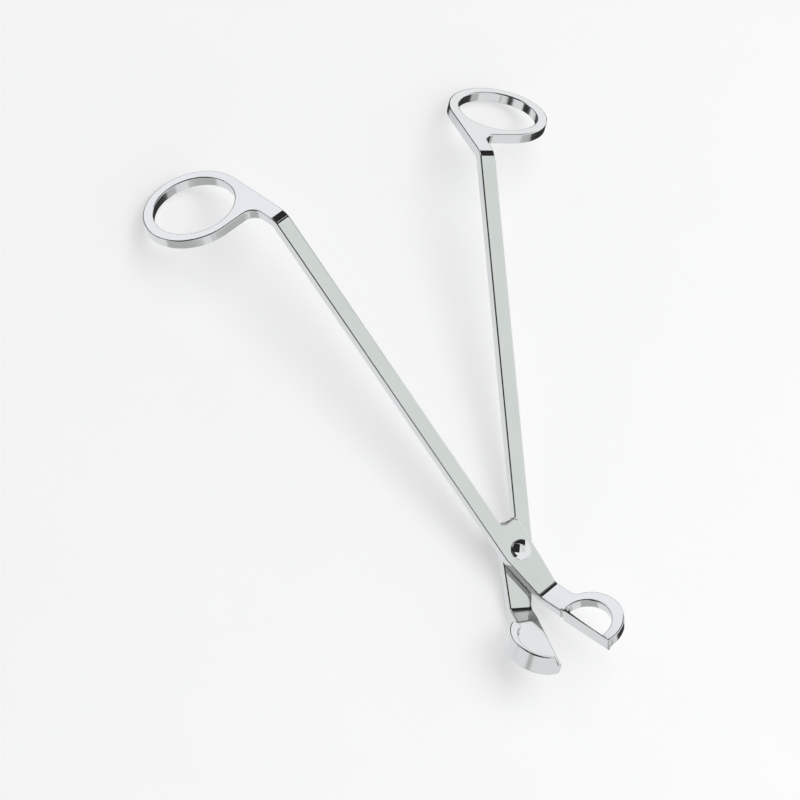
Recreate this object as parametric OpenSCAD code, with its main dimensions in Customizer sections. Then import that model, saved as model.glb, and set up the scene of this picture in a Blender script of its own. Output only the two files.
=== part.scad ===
// Wick trimmer: two mirrored one-piece arms that cross on a rivet.
// Each arm is a flat bar with a finger ring bent down at one end and a jaw bent up at the other.
// The blade arm ends in an open loop with a ground knife, the tray arm in a half-moon tray.
// The tool lies on a table, on the rims of its two rings and the heel of the tray arm.
// Frame: X to the right, Y from the jaws to the rings, Z up, origin under the middle of the box.

/* [Display] */
// Which sub-part to show

/* [Opening] */
// Angle between each bar and the centre line as the tool lies open, degrees
half_open = 16.1; // [2.5:0.1:24]

/* [Bars] */
// Thickness of both arms, mm
arm_t = 3.3; // [2.5:0.1:4]
// Width of each bar, mm
bar_w = 4.8; // [4:0.1:7]
// Distance from the centre line to the inner edge of a bar, mm
bar_in = 0.8; // [0.4:0.1:2]
// Distance from the rivet to the bend below the finger ring, mm
bar_l = 118.7; // [100:0.1:140]

/* [Finger rings] */
// Angle by which each ring is bent down from its bar, degrees
ring_bend = 45.4; // [30:0.1:60]
// Inner radius of that bend, mm
ring_bend_r = 1.5; // [1:0.1:4]
// Width of a ring across the tool, mm
ring_w = 31; // [26:0.5:38]
// Length of a ring along its slope, mm
ring_h = 27.6; // [24:0.2:36]
// Width of the ring's band at its sides, mm
band_side = 3.05; // [2:0.05:5]
// Width of the ring's band at its ends, mm
band_end = 2.8; // [2:0.05:5]
// Distance from the bend to the ring's centre, mm
ring_reach = 22.9; // [18:0.1:30]
// Radius of the hollow between the ring and its stem, mm
stem_fillet = 3.8; // [2:0.1:6]

/* [Pivot] */
// Width of the pivot plate on the bar's outer side at the rivet, mm
plate_out = 5.6; // [4.5:0.1:8]
// Width of the pivot plate on its inner side at the rivet, mm
plate_in = 4.9; // [4.5:0.1:8]
// Distance from the rivet to the shoulder where the plate begins, mm
shoulder_y = 8.6; // [6:0.1:14]
// Radius of the shoulder's outer corner, mm
shoulder_r = 2; // [0.5:0.1:4]
// Radius of the rivet's shank, mm
shank_r = 1.6; // [1.2:0.1:2.5]
// Gap around the shank in the arm that turns, mm
shank_fit = 0.05; // [0.01:0.01:0.1]
// Radius of the rivet's domed head, mm
head_r = 3.15; // [2.5:0.05:4]
// Height of the domed head, mm
head_h = 1.3; // [0.8:0.1:2]
// Radius of the dome's curve, mm
dome_r = 6.2; // [4:0.1:10]
// Radius of the head's rounded rim, mm
head_rim_r = 0.35; // [0.1:0.05:0.6]
// Radius of the peened head at the back, mm
tail_r = 2.7; // [2:0.1:3.5]
// Height of the peened head, mm
tail_h = 0.8; // [0.5:0.1:1.2]
// Thickness of the washer between the arms, mm
washer_t = 0.2; // [0.1:0.05:0.5]
// Radius of the washer, mm
washer_r = 4.2; // [3:0.1:4.6]
// Play along the rivet on each side of the blade arm, mm
end_play = 0.04; // [0.02:0.01:0.1]

/* [Jaws] */
// Angle by which each jaw is bent up from its plate, degrees
jaw_bend = 45.4; // [30:0.1:60]
// Inner radius of that bend, mm
jaw_bend_r = 2.3; // [0.8:0.1:3]
// Distance from the rivet to the bend of the blade arm, mm
blade_reach = 13.9; // [12:0.1:20]
// Distance from the rivet to the bend of the tray arm, mm
tray_reach = 16.9; // [12:0.1:22]
// Half width of the neck on the side away from the cut, mm
neck_out = 3.5; // [2.5:0.1:5]
// Half width of the neck on the side of the cut, mm
neck_in = 3.6; // [2.5:0.1:5]
// Radius of the jaw's round end, mm
jaw_r = 10; // [8:0.1:13]
// Distance from the bend to the centre of the loop, mm
loop_c = 16.7; // [12:0.1:20]
// Distance from the bend to the centre of the tray, mm
tray_c = 15.4; // [12:0.1:20]
// Radius of the hollow between the neck and the round end, mm
neck_fillet = 3; // [1:0.1:5]
// Distance from the centre line to the cutting edge at the neck, mm
edge_neck = 3.4; // [2:0.1:4.5]
// Distance from the centre line to the cutting edge at the tip, mm
edge_tip = 2.6; // [1.5:0.1:4]
// The same at the tray's tip, mm
tray_tip = 2.2; // [1.5:0.1:4]
// Distance from a jaw's centre back to where its cutting edge begins, mm
edge_back = 8.2; // [6:0.1:10]

/* [Loop and knife] */
// Radius of the loop's opening, mm
hole_r = 7.3; // [5:0.1:9]
// Shift of that opening towards the knife, mm
hole_shift = 0.9; // [0:0.1:2]
// Shift of that opening towards the neck, mm
hole_back = 0.3; // [0:0.1:2]
// How far the ground face leans, from the ridge to the cutting edge, mm
knife_lean = 0.55; // [0.2:0.05:1]
// Width of the ridge on top of the knife, mm
ridge_w = 0.3; // [0.2:0.05:1]
// Width of the knife at its widest, mm
knife_w = 1.9; // [1:0.1:3]
// Depth below the ridge at which the knife is widest, mm
knife_root = 2.9; // [1:0.1:4]
// How far the ridge lies below the loop's top, mm
ridge_low = 0.1; // [0.05:0.05:0.5]
// Width of the flat under the knife's cutting edge, mm
land_w = 0.6; // [0.2:0.1:1]
// Gap between the knife and the tray with the bars side by side, mm
knife_gap = 0.33; // [0.3:0.01:0.6]

/* [Tray] */
// Height of the rim above the tray's floor, mm
rim_h = 3; // [1.5:0.1:5]
// Angle at which the rim ends beside the neck, degrees round the tray
rim_neck_deg = 218; // [190:1:240]
// Width of the rim's rounded end beside the neck, mm
rim_end_w = 3.2; // [2:0.1:4]
// How far that end stands out past the tray's outline, mm
rim_swell = 0.3; // [0:0.1:0.6]
// Radius of the pocket inside the rim, mm
pocket_r = 7.65; // [6:0.05:9]
// Shift of the pocket away from the cutting edge, mm
pocket_shift = 0.55; // [0:0.05:2]
// Shift of the pocket towards the tip, mm
pocket_out = 1.1; // [0:0.1:2]
// Distance from the centre line to the foot of the rim's sloping end at the tip, mm
rim_foot = 1.2; // [0:0.1:2.5]
// Run of that slope, mm
rim_run = 1.7; // [0.5:0.1:4]

/* [Lying on a table] */
// Slope of the bars as the tool lies on its rings and heel, degrees
lie_deg = 8.9; // [0:0.1:15]
// Sideways lean that brings the higher ring down to the table, degrees
lean_deg = -1.8; // [-5:0.1:5]
// The rivet's place in the frame, on the mating plane of the arms, mm
pivot_at = [0.1, -49.7, 6.0];

/* [Hidden] */
steel = [0.80, 0.81, 0.82];
washer_grey = [0.35, 0.35, 0.37];
big = 80;                                  // larger than any local feature
strip_l = 40;                              // longer than a ring or a jaw
over = 2;                                  // how far the outlines run past the bends
edge_spare = 0.5;                          // blank left for grinding
knife_l = jaw_r + edge_back + 1;           // long enough to pass the round end
round_fn = 96;
small_fn = 48;

arm_gap = washer_t + end_play;             // between the two arms
blade_front = arm_gap + arm_t;             // top of the blade arm; the tray arm's top is at 0
bar_out = bar_in + bar_w;
ring_u = bar_in + ring_w / 2;              // the ring's inner side runs on from the bar's edge
ring_set = (ring_bend_r + arm_t) * tan(ring_bend / 2);   // bend start to corner, at the ring
jaw_set = jaw_bend_r * tan(jaw_bend / 2);                // the same, at the jaw

tip_deg = acos(edge_tip / jaw_r);          // where the loop's cutting edge meets its round end
tray_deg = acos(tray_tip / jaw_r);         // the same on the tray
edge_deg = atan((edge_neck - edge_tip) / (jaw_r * sin(tip_deg) + edge_back));
// Distance between the top faces of the two jaws, square to them
jaw_step = (tray_reach - blade_reach) * sin(jaw_bend) + blade_front * cos(jaw_bend);
knife_h = jaw_step - knife_gap;            // ridge to cutting edge

// Points on an arc of radius r about the point c, from angle a0 to a1
function arc(c, r, a0, a1, n = 12) =
    [for (i = [0:n]) let (a = a0 + (a1 - a0) * i / n) c + r * [cos(a), sin(a)]];

// ---- outlines, drawn for the tray arm; u runs from the centre line to the bar's side ----

// Bar and pivot plate, seen square to the bar
module bar_outline(reach) {
    start = -reach - over;
    side = bar_l + over;
    polygon(concat(
        [[bar_out, side], [bar_in, side], [bar_in, shoulder_y + shoulder_r]],
        arc([bar_in - shoulder_r, shoulder_y + shoulder_r], shoulder_r, 0, -90),
        arc([-plate_in + shoulder_r, shoulder_y - shoulder_r], shoulder_r, 90, 172),
        [[-neck_out, -reach + jaw_set], [-neck_out, start], [neck_in, start],
         [neck_in, -reach + jaw_set], [plate_out, 0], [bar_out, shoulder_y]]
    ));
}

// Stem and ring, seen square to the ring; the bend is at y = 0
module ring_outline() {
    squash = ring_w / ring_h;
    hole_w = ring_w - 2 * band_side;
    hole_h = ring_h - 2 * band_end;
    near = ring_reach - ring_h / 2;        // the ring's near side, which the stem runs into
    difference() {
        polygon(concat(
            [[bar_in, 0], [bar_out, 0]],
            arc([bar_out + stem_fillet, near - stem_fillet], stem_fillet, 180, 90),
            [for (p = arc([0, 0], ring_h / 2, -90, 180, 72))
                [ring_u + squash * p[0], ring_reach + p[1]]]
        ));
        translate([ring_u, ring_reach]) scale([hole_w / hole_h, 1])
            circle(d = hole_h, $fn = round_fn);
    }
}

// Neck and round end of a jaw, seen square to the jaw; the bend is at y = 0, c is the
// centre of the round end and end_deg is where that end meets the cutting edge
module jaw_outline(c, end_deg) {
    fillet_u = -neck_out - neck_fillet;
    fillet_y = c - sqrt(pow(jaw_r + neck_fillet, 2) - fillet_u * fillet_u);
    toward = atan2(c - fillet_y, -fillet_u);
    polygon(concat(
        [[neck_in, -over], [neck_in, 2 * over], [edge_neck, c - edge_back]],
        arc([0, c], jaw_r, end_deg, toward + 180, 56),
        arc([fillet_u, fillet_y], neck_fillet, toward, 0, 16),
        [[-neck_out, -over]]
    ));
}

// ---- places ----

// Puts a child that is drawn square to the ring into its plane; z = 0 is the ring's top
module in_ring_plane(top) {
    translate([0, bar_l, top]) rotate([-ring_bend, 0, 0]) children();
}

// Puts a child that is drawn square to the jaw into its plane; z = 0 is the jaw's top
module in_jaw_plane(reach, top) {
    translate([0, -reach, top]) rotate([-jaw_bend, 0, 0]) mirror([0, 1, 0]) children();
}

// Turns an arm to its open place; side is 1 for the tray arm and -1 for the blade arm
module opened(side) {
    rotate([0, 0, -side * half_open]) scale([side, 1, 1]) children();
}

// Lays the whole tool on the table
module laid() {
    translate(pivot_at) rotate([lie_deg, lean_deg, 0]) children();
}

// ---- shared body of an arm ----

// The strip an arm is bent from, seen from the side and far wider than the arm
module strip(reach, top) {
    jaw_down = [-sin(jaw_bend), -cos(jaw_bend)];
    ring_down = [-sin(ring_bend), -cos(ring_bend)];
    jaw_far = [-reach - strip_l * cos(jaw_bend), top + strip_l * sin(jaw_bend)];
    ring_far = [bar_l + strip_l * cos(ring_bend), top - strip_l * sin(ring_bend)];
    jaw_mid = [-reach + jaw_set, top + jaw_bend_r];
    ring_mid = [bar_l - ring_set, top - arm_t - ring_bend_r];
    translate([-big / 2, 0, 0]) rotate([90, 0, 90]) linear_extrude(big) polygon(concat(
        [jaw_far],
        arc(jaw_mid, jaw_bend_r, 270 - jaw_bend, 270),
        arc(ring_mid, ring_bend_r + arm_t, 90, 90 - ring_bend),
        [ring_far, ring_far + arm_t * ring_down],
        arc(ring_mid, ring_bend_r, 90 - ring_bend, 90),
        arc(jaw_mid, jaw_bend_r + arm_t, 270, 270 - jaw_bend),
        [jaw_far + arm_t * jaw_down]
    ));
}

// Bent strip cut to the outlines of bar, ring and jaw; c is the centre of the jaw's round end,
// which runs from end_deg
module arm_body(reach, top, c, end_deg) {
    intersection() {
        strip(reach, top);
        union() {
            translate([0, 0, -big / 2]) linear_extrude(big) bar_outline(reach);
            in_ring_plane(top) translate([0, 0, -2 * arm_t]) linear_extrude(3 * arm_t)
                ring_outline();
            in_jaw_plane(reach, top) translate([0, 0, -2 * arm_t]) linear_extrude(3 * arm_t)
                jaw_outline(c, end_deg);
        }
    }
}

// ---- sub-parts ----

// Puts a child that is drawn along +Y from the origin onto a jaw's cutting edge
module on_edge(c) {
    translate([edge_neck, c - edge_back, 0]) rotate([0, 0, edge_deg])
        rotate([90, 0, 180]) mirror([1, 0, 0]) children();
}

// Blank of the knife: it ends flush with the round end, and its leaning face is ground later
module knife_blank() {
    // The section's corners run down the outer side and back up the inner side
    section = [[edge_spare, -ridge_low], [edge_spare, -knife_h], [-land_w, -knife_h],
               [-knife_w, -knife_root], [-knife_lean - ridge_w, -ridge_low]];
    intersection() {
        on_edge(loop_c) translate([0, 0, edge_spare]) linear_extrude(knife_l) polygon(section);
        translate([0, 0, -2 * arm_t]) linear_extrude(2 * arm_t) jaw_outline(loop_c, tip_deg);
    }
}

// Everything outside the ground face
module ground_cut() {
    lean = knife_lean / knife_h;
    on_edge(loop_c) linear_extrude(big)
        polygon([[-lean * (knife_h + big), big], [lean * big, -knife_h - big],
                 [3 * big, -knife_h - big], [3 * big, big]]);
}

// The rim of the tray, with its foot inside the plate and a sloping end at the tip
module rim() {
    difference() {
        translate([0, 0, -arm_t / 2]) linear_extrude(arm_t / 2 + rim_h) difference() {
            jaw_outline(tray_c, tray_deg);
            translate([0, tray_c]) difference() {
                union() {
                    translate([-pocket_shift, pocket_out])
                        circle(r = pocket_r, $fn = round_fn);
                    difference() {
                        square(4 * big, center = true);
                        polygon(concat([[0, 0]], arc([0, 0], big, tray_deg - 10, rim_neck_deg)));
                    }
                }
                rim_end();
            }
        }
        translate([0, 3 * big, 0]) rotate([90, 0, 0]) linear_extrude(4 * big)
            polygon([[rim_foot + rim_run, -rim_h], [big, -rim_h], [big, 2 * rim_h],
                     [rim_foot - 2 * rim_run, 2 * rim_h]]);
    }
}

// Rounded end of the rim beside the neck
module rim_end() {
    round_r = rim_end_w / 2;
    translate((jaw_r - round_r + rim_swell) * [cos(rim_neck_deg), sin(rim_neck_deg)])
        circle(r = round_r, $fn = small_fn);
}

module tray_arm() {
    color(steel) laid() opened(1) difference() {
        union() {
            arm_body(tray_reach, 0, tray_c, tray_deg);
            in_jaw_plane(tray_reach, 0) rim();
        }
        translate([0, 0, -big / 2]) cylinder(r = shank_r, h = big, $fn = small_fn);
    }
}

module blade_arm() {
    color(steel) laid() opened(-1) difference() {
        union() {
            difference() {
                arm_body(blade_reach, blade_front, loop_c, tip_deg);
                in_jaw_plane(blade_reach, blade_front)
                    translate([hole_shift, loop_c - hole_back, -2 * arm_t])
                        cylinder(r = hole_r, h = 3 * arm_t, $fn = round_fn);
            }
            in_jaw_plane(blade_reach, blade_front) knife_blank();
        }
        in_jaw_plane(blade_reach, blade_front) ground_cut();
        translate([0, 0, -big / 2])
            cylinder(r = shank_r + shank_fit, h = big, $fn = small_fn);
    }
}

// Half section of the domed head: the dome runs into a rounded rim, tangent to it
function head_section() =
    let (mid_z = head_h - dome_r,
         rim = [head_r - head_rim_r,
                mid_z + sqrt(pow(dome_r - head_rim_r, 2) - pow(head_r - head_rim_r, 2))],
         turn = atan2(rim[1] - mid_z, rim[0]))
    concat([[0, 0], [head_r, 0]], arc(rim, head_rim_r, 0, turn, 8),
           arc([0, mid_z], dome_r, turn + 2, 90, 14));

// Rivet: domed head in front, shank through both arms, peened head behind
module pivot_rivet() {
    head_z = blade_front + end_play;
    color(steel) laid() {
        translate([0, 0, -arm_t - tail_h / 2])
            cylinder(r = shank_r, h = tail_h / 2 + arm_t + head_z + head_h / 2, $fn = small_fn);
        translate([0, 0, head_z]) rotate_extrude($fn = round_fn) polygon(head_section());
        translate([0, 0, -arm_t - tail_h])
            cylinder(r1 = tail_r - tail_h, r2 = tail_r, h = tail_h, $fn = round_fn);
    }
}

module spacer_washer() {
    color(washer_grey) laid() linear_extrude(washer_t) difference() {
        circle(r = washer_r, $fn = round_fn);
        circle(r = shank_r, $fn = small_fn);
    }
}

tray_arm();
blade_arm();
pivot_rivet();
spacer_washer();
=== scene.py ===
"""Looks of a wick trimmer: two polished steel arms crossed on a domed rivet, lying on a pale table."""
import math

import bmesh
import bpy
import numpy as np
from mathutils import Euler, Matrix, Vector


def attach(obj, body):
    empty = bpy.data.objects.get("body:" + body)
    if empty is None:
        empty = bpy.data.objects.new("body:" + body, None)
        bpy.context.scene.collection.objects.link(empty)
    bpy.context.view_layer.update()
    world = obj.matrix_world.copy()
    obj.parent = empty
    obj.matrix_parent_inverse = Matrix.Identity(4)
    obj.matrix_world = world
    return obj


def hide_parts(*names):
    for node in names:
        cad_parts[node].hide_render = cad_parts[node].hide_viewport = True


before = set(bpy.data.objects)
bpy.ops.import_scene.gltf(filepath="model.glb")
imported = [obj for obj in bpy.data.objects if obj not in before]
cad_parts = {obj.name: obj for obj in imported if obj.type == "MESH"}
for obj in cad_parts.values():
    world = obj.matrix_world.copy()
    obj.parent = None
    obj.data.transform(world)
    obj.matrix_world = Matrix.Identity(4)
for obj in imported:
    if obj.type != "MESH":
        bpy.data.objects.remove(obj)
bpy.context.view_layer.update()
MM = 0.001


# ---------------------------------------------------------------- the tool's own places

LIE = math.radians(8.9)              # slope of the bars on the table
LEAN = math.radians(-1.8)            # sideways lean
HALF_OPEN = math.radians(16.1)       # each bar from the centre line
SLOPE = Vector((math.sin(math.radians(45.4)), math.cos(math.radians(45.4))))   # of rings and jaws
PIVOT = Vector((0.1, -49.7, 6.0)) * MM

# The knife's ridge ends in small steps: their longest edge, and where the knife begins,
# outwards from the arm's centre line and up from its mating plane
STEP_MM = 0.2
KNIFE_OUT_MM = 1
KNIFE_UP_MM = 8

# How close points are joined, how wide edges are rounded, and how sharp an edge is rounded
ARM_EDGES = (0.002, 0.40, 28)
RIVET_EDGES = (0.002, 0.06, 35)

LAID = Matrix.Translation(PIVOT) @ Matrix.Rotation(LEAN, 4, "Y") @ Matrix.Rotation(LIE, 4, "X")


def arm_matrix(side):
    """From an arm's own place (u out to its handle side, v to the rings) to the table."""
    mirror = Matrix.Diagonal((side, 1, 1, 1))
    return LAID @ Matrix.Rotation(-side * HALF_OPEN, 4, "Z") @ mirror


# ---------------------------------------------------------------- shader maths in plain words

class Value:
    """A number or vector flowing through a material, with + and * on either side."""

    def __init__(self, tree, socket):
        self.tree, self.socket = tree, socket

    def math(self, kind, other):
        node = make(self.tree, "ShaderNodeMath", {"operation": kind}, {0: self, 1: other})
        return Value(self.tree, node.outputs[0])

    def __add__(self, other):
        return self.math("ADD", other)

    def __mul__(self, other):
        return self.math("MULTIPLY", other)

    __radd__, __rmul__ = __add__, __mul__

    def between(self, low, high, to_low=0.0, to_high=1.0):
        """Runs smoothly from to_low at low to to_high at high."""
        node = make(self.tree, "ShaderNodeMapRange", {"interpolation_type": "SMOOTHSTEP"},
                    {"Value": self, "From Min": low, "From Max": high,
                     "To Min": to_low, "To Max": to_high})
        return Value(self.tree, node.outputs[0])


def connect(tree, source, slot):
    if isinstance(source, Value):
        tree.links.new(source.socket, slot)
    else:
        slot.default_value = source


def make(tree, kind, settings, inputs):
    """Makes one shader node, sets its options and fills its inputs."""
    node = tree.nodes.new(kind)
    for key, setting in settings.items():
        setattr(node, key, setting)
    for key, source in inputs.items():
        connect(tree, source, node.inputs[key])
    return node


def noise(tree, place, scale, detail=3.0, rough=0.5):
    node = make(tree, "ShaderNodeTexNoise", {"noise_dimensions": "3D"},
                {"Vector": place, "Scale": scale, "Detail": detail, "Roughness": rough})
    return Value(tree, node.outputs["Fac"])


def stretched(tree, place, factors):
    node = make(tree, "ShaderNodeVectorMath", {"operation": "MULTIPLY"},
                {0: place, 1: factors})
    return Value(tree, node.outputs[0])


def mixed(tree, factor, first, second):
    node = make(tree, "ShaderNodeMix", {"data_type": "RGBA"}, {"Factor": factor})
    connect(tree, first, node.inputs[6])
    connect(tree, second, node.inputs[7])
    return Value(tree, node.outputs[2])


def bump(tree, height, distance, strength, normal=None):
    inputs = {"Height": height, "Distance": distance, "Strength": strength}
    if normal is not None:
        inputs["Normal"] = normal
    return Value(tree, make(tree, "ShaderNodeBump", {}, inputs).outputs[0])


def new_material(name):
    material = bpy.data.materials.new(name)
    material.use_nodes = True
    tree = material.node_tree
    tree.nodes.clear()
    surface = make(tree, "ShaderNodeBsdfPrincipled", {}, {})
    make(tree, "ShaderNodeOutputMaterial", {}, {"Surface": Value(tree, surface.outputs[0])})
    return material, tree, surface


def polished_steel(name, bright, dull, rough_low, rough_high, ripple):
    """Polished steel: soft smudges, fine polishing hairlines along the arm and a faint ripple; its cut
    side walls are painted a darker grey as painted shade and made a little rougher.
    """
    material, tree, surface = new_material(name)
    place = Value(tree, make(tree, "ShaderNodeAttribute", {"attribute_name": "own_place"},
                             {}).outputs["Vector"])
    smudge = noise(tree, place, 70.0, 4.0, 0.55)
    cloud = noise(tree, place, 18.0, 2.0, 0.5)
    hair = noise(tree, stretched(tree, place, (3200.0, 60.0, 3200.0)), 1.0, 2.0, 0.6)
    speck = noise(tree, place, 1500.0, 2.0, 0.5).between(0.70, 0.80)
    wear = smudge.between(0.42, 0.72) * 0.6 + cloud.between(0.35, 0.7) * 0.4
    wall = Value(tree, make(tree, "ShaderNodeAttribute", {"attribute_name": "wall"},
                            {}).outputs["Fac"])
    face_colour = mixed(tree, wear * 0.7 + speck * 0.3, bright, dull)
    # Painted shade: the side walls' base colour is mixed towards a darker grey.
    connect(tree, mixed(tree, wall * (wear * 0.2 + 0.8), face_colour, (0.74, 0.76, 0.75, 1)),
            surface.inputs["Base Color"])
    connect(tree, 1.0, surface.inputs["Metallic"])
    roughness = wear * (rough_high - rough_low) + rough_low + hair.between(0.5, 0.8) * 0.02
    connect(tree, roughness + speck * 0.08 + wall * 0.07, surface.inputs["Roughness"])
    wave = noise(tree, place, 55.0, 1.0, 0.4)
    rippled = bump(tree, wave, ripple, 1.0)
    scratched = bump(tree, hair, 0.0000012, 0.6, rippled)
    connect(tree, scratched, surface.inputs["Normal"])
    return material


# ---------------------------------------------------------------- pieces

def own_places(mesh, matrix):
    """Stores every vertex's place in the arm's own coordinates, in metres, as own_place."""
    count = len(mesh.vertices)
    where = np.zeros(count * 3, np.float32)
    mesh.vertices.foreach_get("co", where)
    back = np.array(matrix.inverted())
    own = where.reshape(-1, 3) @ back[:3, :3].T + back[:3, 3]
    layer = mesh.attributes.new("own_place", "FLOAT_VECTOR", "POINT")
    layer.data.foreach_set("vector", own.astype(np.float32).ravel())


def wall_share(face, back):
    """1 on a sheet's cut side walls and 0 on its broad faces, from the face's direction; the steel's
    colour is darkened there as painted shade.
    """
    normal = (back.to_3x3() @ face.normal).normalized()
    broad = max(abs(normal.z), abs(normal.dot(Vector((0, SLOPE.x, SLOPE.y)))))
    return 1.0 if broad < 0.75 else 0.0


def knife_step(edge, back):
    """True for the short edges at the ends of the knife's ridge, which stay crisp."""
    ends = [back @ corner.co / MM for corner in edge.verts]
    beside_knife = all(end.x > KNIFE_OUT_MM and end.z > KNIFE_UP_MM for end in ends)
    return edge.calc_length() < STEP_MM * MM and beside_knife


def finished_copy(node, body, name, matrix, edges, material):
    """Copy of a CAD node with its faces joined up, its sharp edges rounded and marked walls."""
    join_mm, round_mm, sharp_deg = edges
    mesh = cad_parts[node].data.copy()
    mesh.name = name
    for layer in list(mesh.color_attributes):
        mesh.color_attributes.remove(layer)
    mesh.materials.clear()
    work = bmesh.new()
    work.from_mesh(mesh)
    bmesh.ops.remove_doubles(work, verts=work.verts, dist=join_mm * MM)
    bmesh.ops.dissolve_limit(work, angle_limit=math.radians(0.6), verts=work.verts,
                             edges=work.edges)
    weights = work.edges.layers.float.get("bevel_weight_edge") \
        or work.edges.layers.float.new("bevel_weight_edge")
    back = matrix.inverted()
    sharp = math.radians(sharp_deg)
    for edge in work.edges:
        turned = edge.calc_face_angle(0.0)
        edge.smooth = turned < sharp
        edge[weights] = 1.0 if turned >= sharp and not knife_step(edge, back) else 0.0
    for face in work.faces:
        face.smooth = True
    work.normal_update()
    walls = [wall_share(face, back) for face in work.faces]
    work.to_mesh(mesh)
    work.free()
    own_places(mesh, matrix)
    layer = mesh.attributes.new("wall", "FLOAT", "FACE")
    layer.data.foreach_set("value", walls)
    piece = bpy.data.objects.new(name, mesh)
    bpy.context.scene.collection.objects.link(piece)
    mesh.materials.append(material)
    rounding = piece.modifiers.new("rounded edges", "BEVEL")
    rounding.limit_method = "WEIGHT"
    rounding.width = round_mm * MM
    rounding.segments = 4
    rounding.profile = 0.5
    rounding.use_clamp_overlap = False
    rounding.harden_normals = True
    rounding.loop_slide = False
    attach(piece, body)
    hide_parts(node)
    return piece


steel = polished_steel("arm_steel", (0.90, 0.91, 0.90, 1), (0.84, 0.86, 0.85, 1),
                       0.05, 0.12, 0.00002)
finished_copy("blade_arm", "blade_half", "polished_blade_arm", arm_matrix(-1), ARM_EDGES, steel)
finished_copy("tray_arm", "tray_half", "polished_tray_arm", arm_matrix(1), ARM_EDGES, steel)


# ---------------------------------------------------------------- rivet and washer

rivet_steel = polished_steel("rivet_steel", (0.90, 0.91, 0.90, 1), (0.82, 0.83, 0.82, 1),
                             0.03, 0.08, 0.00001)
finished_copy("pivot_rivet", "tray_half", "polished_rivet", LAID, RIVET_EDGES, rivet_steel)

washer_paint = polished_steel("washer_steel", (0.46, 0.46, 0.47, 1), (0.34, 0.34, 0.35, 1),
                              0.30, 0.45, 0.00002)
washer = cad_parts["spacer_washer"].data
washer.materials.clear()
washer.materials.append(washer_paint)
own_places(washer, LAID)


# ---------------------------------------------------------------- table, lights, camera

def direction(azimuth, elevation):
    a, e = math.radians(azimuth), math.radians(elevation)
    return Vector((math.cos(a) * math.cos(e), math.sin(a) * math.cos(e), math.sin(e)))


def panel(name, azimuth, elevation, wide, tall, colour, strength, distance=0.9):
    """A curved studio panel round the tool, unseen by the camera: glowing, or dark when weak.

    Its points lie on a sphere of that distance, in steps of angle along two great circles
    that cross at its middle; wide and tall are its full angles in degrees.
    """
    steps = 13
    across = np.radians(np.linspace(-wide / 2, wide / 2, steps))
    along = np.radians(np.linspace(-tall / 2, tall / 2, steps))
    a, b = np.meshgrid(across, along, indexing="ij")
    local = np.stack([np.sin(a) * np.cos(b), np.sin(b), np.cos(a) * np.cos(b)], -1)
    ahead = direction(azimuth, elevation)
    side = Vector((-math.sin(math.radians(azimuth)), math.cos(math.radians(azimuth)), 0))
    axes = np.array([side, ahead.cross(side), ahead])
    points = (local.reshape(-1, 3) @ axes) * distance
    i, j = np.meshgrid(np.arange(steps - 1), np.arange(steps - 1), indexing="ij")
    first = (i * steps + j).ravel()
    faces = np.stack([first, first + 1, first + steps + 1, first + steps], 1)
    mesh = bpy.data.meshes.new(name)
    mesh.from_pydata(points.tolist(), [], faces.tolist())
    material, tree, surface = new_material(name)
    surface.inputs["Base Color"].default_value = (0.01, 0.01, 0.01, 1)
    surface.inputs["Roughness"].default_value = 1.0
    surface.inputs["Specular IOR Level"].default_value = 0.0
    surface.inputs["Emission Color"].default_value = (*colour, 1)
    surface.inputs["Emission Strength"].default_value = strength
    mesh.materials.append(material)
    piece = bpy.data.objects.new(name, mesh)
    bpy.context.scene.collection.objects.link(piece)
    piece.visible_camera = False
    piece.visible_shadow = False


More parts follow.
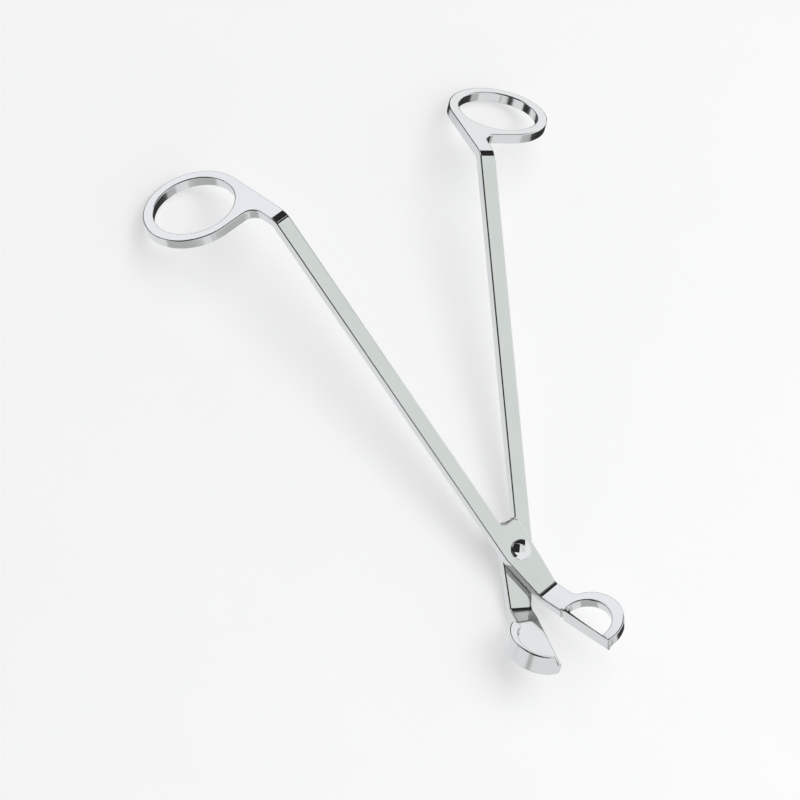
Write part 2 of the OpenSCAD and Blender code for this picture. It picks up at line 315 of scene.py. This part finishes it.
# Each panel's azimuth, elevation, width and height are in degrees. Flags are dark panels, which
# give the mirror-like steel its dark edge lines. The two at 0.92 m pass behind their neighbours.
WHITE = (1.0, 1.0, 1.0)
panel("overhead_panel", -16, 62, 40, 24, (0.95, 1.0, 0.97), 0.72)
panel("rear_flag", 60, 47, 76, 36, WHITE, 0.015)
panel("top_flag", 150, 80, 48, 40, WHITE, 0.015, 0.92)
panel("left_flag", 184, 32, 84, 60, WHITE, 0.015)
panel("low_right_flag", -18, -26, 48, 34, WHITE, 0.03)
panel("low_front_grey", -52, -6, 22, 14, WHITE, 0.50)
panel("low_left_grey", -118, -27, 60, 36, WHITE, 0.50)
panel("low_left_flag", -140, -34, 9, 22, WHITE, 0.06)
panel("rear_card", 82, 10, 44, 28, (0.94, 0.945, 1.0), 0.93)
panel("low_rear_flag", 65, -36, 90, 48, WHITE, 0.03)
panel("low_back_flag", 140, -22, 70, 36, WHITE, 0.03, 0.92)

lamp = bpy.data.objects.new("soft_sun", bpy.data.lights.new("soft_sun", "SUN"))
bpy.context.scene.collection.objects.link(lamp)
lamp.data.energy = 1.6
lamp.data.angle = math.radians(60)
lamp.rotation_euler = Euler((math.radians(-12), math.radians(14), 0))
lamp.visible_glossy = False

table_mesh = bpy.data.meshes.new("table")
table_mesh.from_pydata([(-4, -4, 0), (4, -4, 0), (4, 4, 0), (-4, 4, 0)], [], [(0, 1, 2, 3)])
table = bpy.data.objects.new("table", table_mesh)
bpy.context.scene.collection.objects.link(table)
table_paint, tree, surface = new_material("table")
grain = noise(tree, Value(tree, make(tree, "ShaderNodeTexCoord", {}, {}).outputs["Object"]),
              40.0, 3.0)
connect(tree, mixed(tree, grain, (0.60, 0.60, 0.60, 1), (0.62, 0.62, 0.62, 1)),
        surface.inputs["Base Color"])
surface.inputs["Emission Color"].default_value = (1, 1, 1, 1)
surface.inputs["Emission Strength"].default_value = 0.42
surface.inputs["Roughness"].default_value = 0.6
surface.inputs["Specular IOR Level"].default_value = 0.1
table_mesh.materials.append(table_paint)
table.visible_glossy = False

world = bpy.data.worlds.new("studio")
bpy.context.scene.world = world
world.use_nodes = True
world.node_tree.nodes["Background"].inputs["Color"].default_value = (0.97, 0.98, 1.0, 1)
world.node_tree.nodes["Background"].inputs["Strength"].default_value = 0.88

camera = bpy.data.objects.new("camera", bpy.data.cameras.new("camera"))
bpy.context.scene.collection.objects.link(camera)
camera.data.sensor_width = 36.0
camera.data.lens = 134.54
camera.data.clip_start, camera.data.clip_end = 0.01, 20.0
camera.location = Vector((-410.513, -122.202, 767.688)) * MM
camera.rotation_euler = Euler([math.radians(a) for a in (19.0213, -21.7625, -25.309)], "XYZ")
bpy.context.scene.camera = camera
bpy.context.scene.view_settings.view_transform = "Standard"
